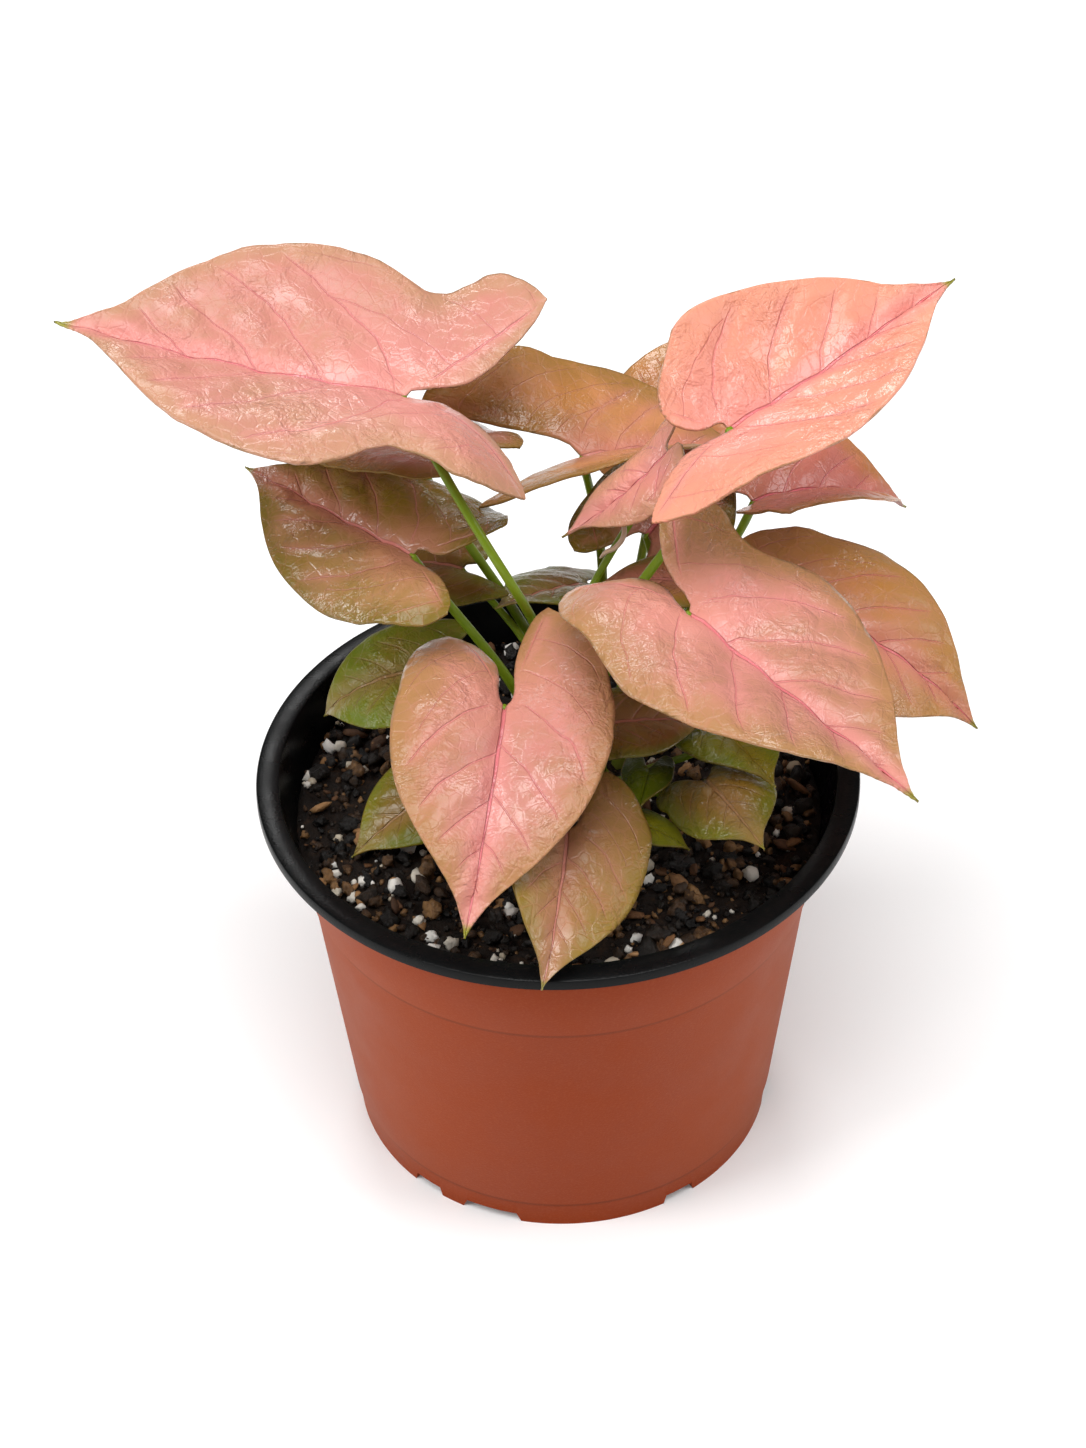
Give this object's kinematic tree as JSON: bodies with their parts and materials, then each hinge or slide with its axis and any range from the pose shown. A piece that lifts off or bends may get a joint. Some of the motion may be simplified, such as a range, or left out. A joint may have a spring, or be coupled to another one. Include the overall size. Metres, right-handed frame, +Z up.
{
  "type": "potted plant",
  "caption": "Arrowhead vine with pink, coral and olive heart-shaped leaves on green stalks, growing in potting mix in a two-tone nursery pot.",
  "frame": {"origin": "middle of the pot's underside, on the ground plane", "axes": "+Z up along the pot's axis; -Y is the plant's front; +X is to the viewer's right from the front"},
  "size_m": [0.2339, 0.2142, 0.2376],
  "materials": {
    "pot": "matte brick orange outside, black inside and on the lip",
    "soil": "damp dark potting mix with white perlite; fabric stands in for loose mix",
    "shoot_left": "smooth green stalk; rubber stands in for soft plant stem",
    "shoot_back": "smooth green stalk; rubber stands in for soft plant stem",
    "shoot_middle": "smooth green stalk; rubber stands in for soft plant stem",
    "shoot_right": "smooth green stalk; rubber stands in for soft plant stem",
    "shoot_front": "smooth green stalk; rubber stands in for soft plant stem",
    "shoot_low": "smooth green stalk; rubber stands in for soft plant stem",
    "leaf_left_top": "satin leaf, pink; paper stands in for leaf blade",
    "leaf_left_middle": "satin leaf, olive; paper stands in for leaf blade",
    "leaf_front_heart": "satin leaf, coral; paper stands in for leaf blade",
    "leaf_right_front": "satin leaf, pink; paper stands in for leaf blade",
    "leaf_right_top": "satin leaf, coral; paper stands in for leaf blade",
    "leaf_right_outer": "satin leaf, bronze; paper stands in for leaf blade",
    "leaf_back_arch": "satin leaf, bronze; paper stands in for leaf blade",
    "leaf_back_right": "satin leaf, coral; paper stands in for leaf blade",
    "leaf_left_low": "satin leaf, green; paper stands in for leaf blade",
    "leaf_front_low": "satin leaf, mauve; paper stands in for leaf blade",
    "leaf_low_olive": "satin leaf, olive; paper stands in for leaf blade",
    "leaf_back_top": "satin leaf, pink; paper stands in for leaf blade",
    "leaf_left_front": "satin leaf, green; paper stands in for leaf blade",
    "leaf_back_low_left": "satin leaf, olive; paper stands in for leaf blade",
    "leaf_back_low_right": "satin leaf, olive; paper stands in for leaf blade",
    "leaf_behind_left": "satin leaf, olive; paper stands in for leaf blade",
    "leaf_low_green": "satin leaf, green; paper stands in for leaf blade",
    "leaf_low_brown": "satin leaf, olive; paper stands in for leaf blade",
    "leaf_low_dark": "satin leaf, green; paper stands in for leaf blade",
    "leaf_low_bright": "satin leaf, green; paper stands in for leaf blade",
    "leaf_under_left": "satin leaf, olive; paper stands in for leaf blade",
    "leaf_young_rolled": "satin leaf, pink; paper stands in for leaf blade",
    "leaf_behind_young": "satin leaf, olive; paper stands in for leaf blade"
  },
  "bodies": {
    "root": {"pot": "pot", "soil": "soil", "shoot_left": "shoot_left", "shoot_back": "shoot_back", "shoot_middle": "shoot_middle", "shoot_right": "shoot_right", "shoot_front": "shoot_front", "shoot_low": "shoot_low", "leaf_left_top": "leaf_left_top", "leaf_left_middle": "leaf_left_middle", "leaf_front_heart": "leaf_front_heart", "leaf_right_front": "leaf_right_front", "leaf_right_top": "leaf_right_top", "leaf_right_outer": "leaf_right_outer", "leaf_back_arch": "leaf_back_arch", "leaf_back_right": "leaf_back_right", "leaf_left_low": "leaf_left_low", "leaf_front_low": "leaf_front_low", "leaf_low_olive": "leaf_low_olive", "leaf_back_top": "leaf_back_top", "leaf_left_front": "leaf_left_front", "leaf_back_low_left": "leaf_back_low_left", "leaf_back_low_right": "leaf_back_low_right", "leaf_behind_left": "leaf_behind_left", "leaf_low_green": "leaf_low_green", "leaf_low_brown": "leaf_low_brown", "leaf_low_dark": "leaf_low_dark", "leaf_low_bright": "leaf_low_bright", "leaf_under_left": "leaf_under_left", "leaf_young_rolled": "leaf_young_rolled", "leaf_behind_young": "leaf_behind_young"}
  },
  "joints": []
}
